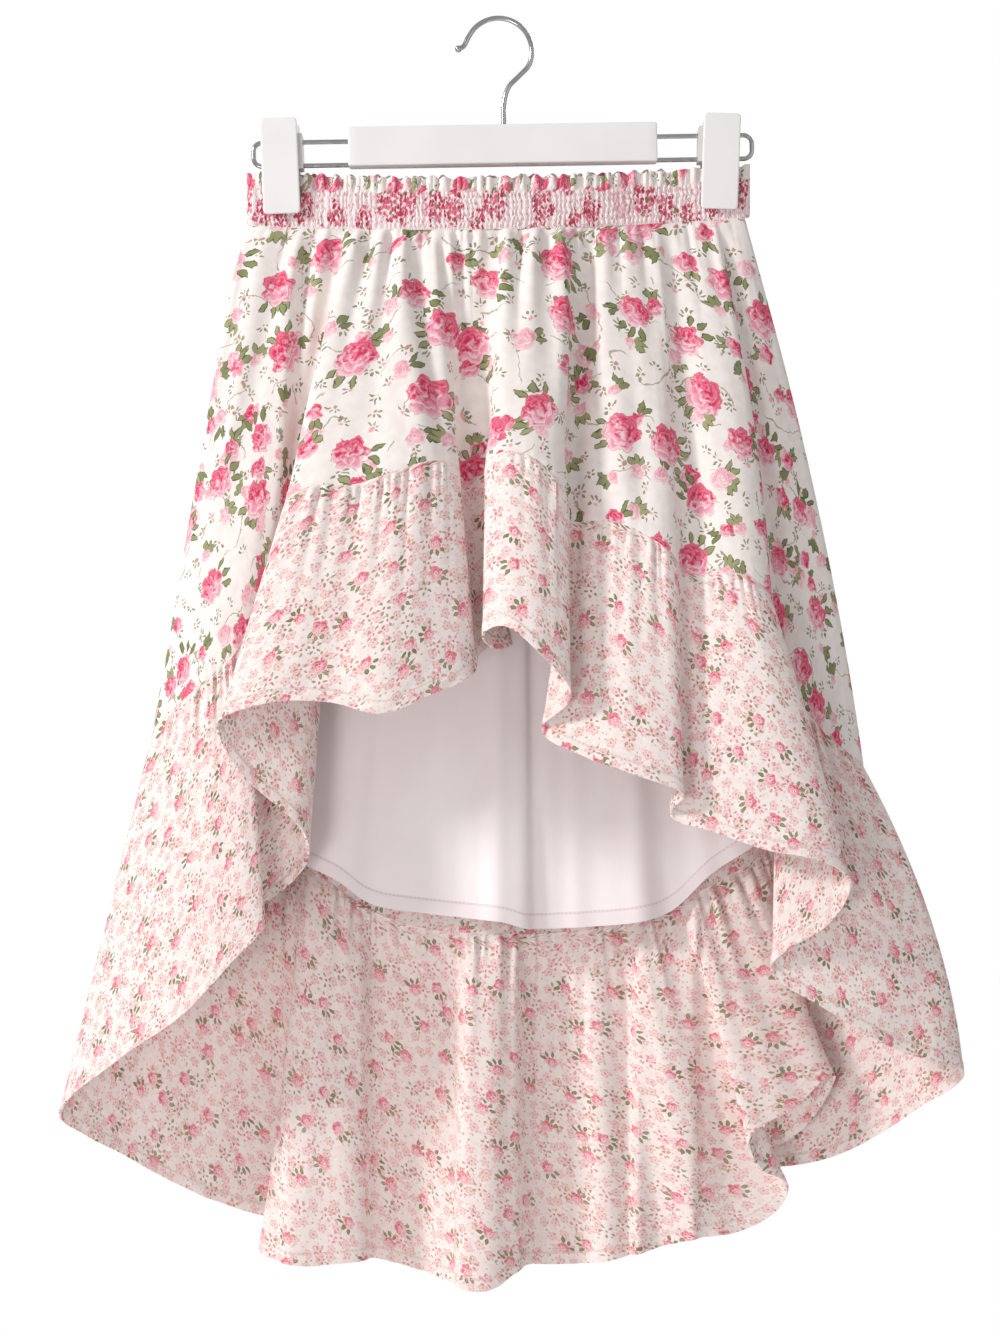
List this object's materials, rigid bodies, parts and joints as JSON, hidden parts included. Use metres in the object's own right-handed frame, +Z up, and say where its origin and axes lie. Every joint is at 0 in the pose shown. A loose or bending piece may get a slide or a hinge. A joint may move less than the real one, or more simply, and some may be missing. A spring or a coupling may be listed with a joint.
{
  "type": "girl's high-low skirt on a clip hanger",
  "caption": "High-low skirt with a shirred waistband, gathered body and gathered flounce, plain back lining, held by a clip hanger with a wire hook.",
  "frame": {"origin": "where a rail bears on the inside of the hanger's hook, at its top", "axes": "+Z up, +X to the right of someone facing the front of the skirt, +Y towards the back of the skirt"},
  "size_m": [0.5447, 0.1193, 0.77],
  "materials": {
    "large_print": "woven, large rose print on warm white",
    "small_print": "woven, small rose print on warm white",
    "lining": "plain woven, slightly sheer",
    "hanger_white": "satin white",
    "hanger_wire": "bright"
  },
  "bodies": {
    "root": {"waistband_front": "large_print", "waistband_back": "large_print", "body_front": "large_print", "body_back": "large_print", "flounce_front": "small_print", "flounce_back": "small_print", "lining_back": "lining", "hanger_hook": "hanger_wire", "hanger_bar": "hanger_white", "hanger_wire_left": "hanger_wire", "hanger_wire_right": "hanger_wire", "clip_left_front": "hanger_white", "clip_left_back": "hanger_white", "clip_left_saddle": "hanger_white", "clip_right_front": "hanger_white", "clip_right_back": "hanger_white", "clip_right_saddle": "hanger_white"}
  },
  "joints": []
}
